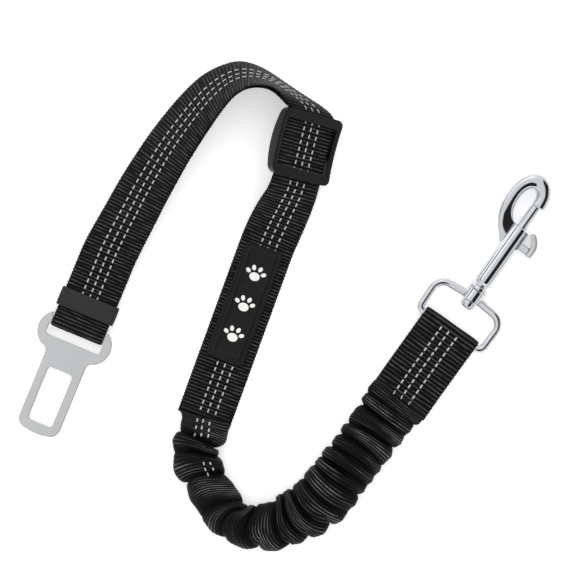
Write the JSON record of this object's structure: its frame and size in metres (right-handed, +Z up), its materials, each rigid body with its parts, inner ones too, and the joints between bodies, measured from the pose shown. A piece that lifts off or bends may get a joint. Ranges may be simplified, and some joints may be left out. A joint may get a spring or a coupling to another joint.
{
  "type": "dog seat belt tether",
  "caption": "Adjustable webbing car tether with a buckle tongue, slide adjuster, elastic section and swivel bolt snap, lying flat in a loose loop.",
  "frame": {"origin": "middle of the outline of the tether as it lies, on the table top", "axes": "+Z up from the table, +X towards the snap's side, +Y towards the bend that holds the slide adjuster"},
  "size_m": [0.2389, 0.2212, 0.0259],
  "materials": {
    "black_webbing": "ribbed woven nylon with three rows of reflective thread",
    "gathered_cover": "gathered ribbed nylon",
    "black_thread": "bonded nylon thread",
    "elastic": "braided rubber elastic",
    "patch_rubber": "matte moulded rubber",
    "white_print": "matte raised print",
    "keeper_rubber": "matte moulded rubber",
    "adjuster_plastic": "satin moulded acetal",
    "satin_steel": "satin zinc plate",
    "chrome_zinc": "polished chrome plate on die-cast zinc",
    "spring_steel": "drawn wire"
  },
  "bodies": {
    "strap": {"tongue_fold": "black_webbing", "loop_webbing": "black_webbing", "return_webbing": "black_webbing", "adjuster_webbing": "black_webbing", "label_webbing": "black_webbing", "label_patch": "patch_rubber", "paw_prints": "white_print", "cover_tack": "black_thread", "bungee_cover": "gathered_cover", "bungee_core": "elastic"},
    "tongue": {"belt_tongue": "satin_steel"},
    "keeper": {"strap_keeper": "keeper_rubber"},
    "adjuster": {"slide_adjuster": "adjuster_plastic", "sewn_loop": "black_webbing", "loop_tack": "black_thread"},
    "end_tab": {"end_webbing": "black_webbing", "tab_tack": "black_thread"},
    "ring": {"d_ring": "chrome_zinc"},
    "hook": {"hook_body": "chrome_zinc", "swivel_stud": "chrome_zinc", "plunger_spring": "spring_steel"},
    "plunger": {"plunger_pin": "chrome_zinc", "thumb_knob": "chrome_zinc"}
  },
  "joints": [
    {"name": "tongue_swing", "type": "hinge", "parent": "strap", "child": "tongue", "pos_m": [-0.0925, -0.0106, 0.00345], "axis": [-0.9239, 0.3827, 0], "range_deg": [-90, 90]},
    {"name": "keeper_slide", "type": "slide", "parent": "strap", "child": "keeper", "axis": [0.3827, 0.9239, 0], "range_m": [0, 0.014]},
    {"name": "adjuster_slide", "type": "slide", "parent": "strap", "child": "adjuster", "axis": [-0.2419, -0.9703, 0], "range_m": [0, 0.007]},
    {"name": "bungee_stretch", "type": "slide", "parent": "strap", "child": "end_tab", "axis": [0.5764, 0.8171, 0], "range_m": [0, 0.06], "stiffness_N_per_m": 300, "deforming": ["bungee_cover", "bungee_core"]},
    {"name": "ring_swing", "type": "hinge", "parent": "end_tab", "child": "ring", "pos_m": [0.07407, -0.01105, 0.0048], "axis": [0.8171, -0.5764, 0], "range_deg": [-90, 90]},
    {"name": "hook_swivel", "type": "hinge", "parent": "ring", "child": "hook", "pos_m": [0.08462, 0.0039, 0.0048], "axis": [0.5764, 0.8171, 0], "continuous": true},
    {"name": "plunger_slide", "type": "slide", "parent": "hook", "child": "plunger", "axis": [-0.5764, -0.8171, 0], "range_m": [0, 0.01], "stiffness_N_per_m": 300, "springref_m": -0.008, "deforming": ["plunger_spring"]}
  ]
}
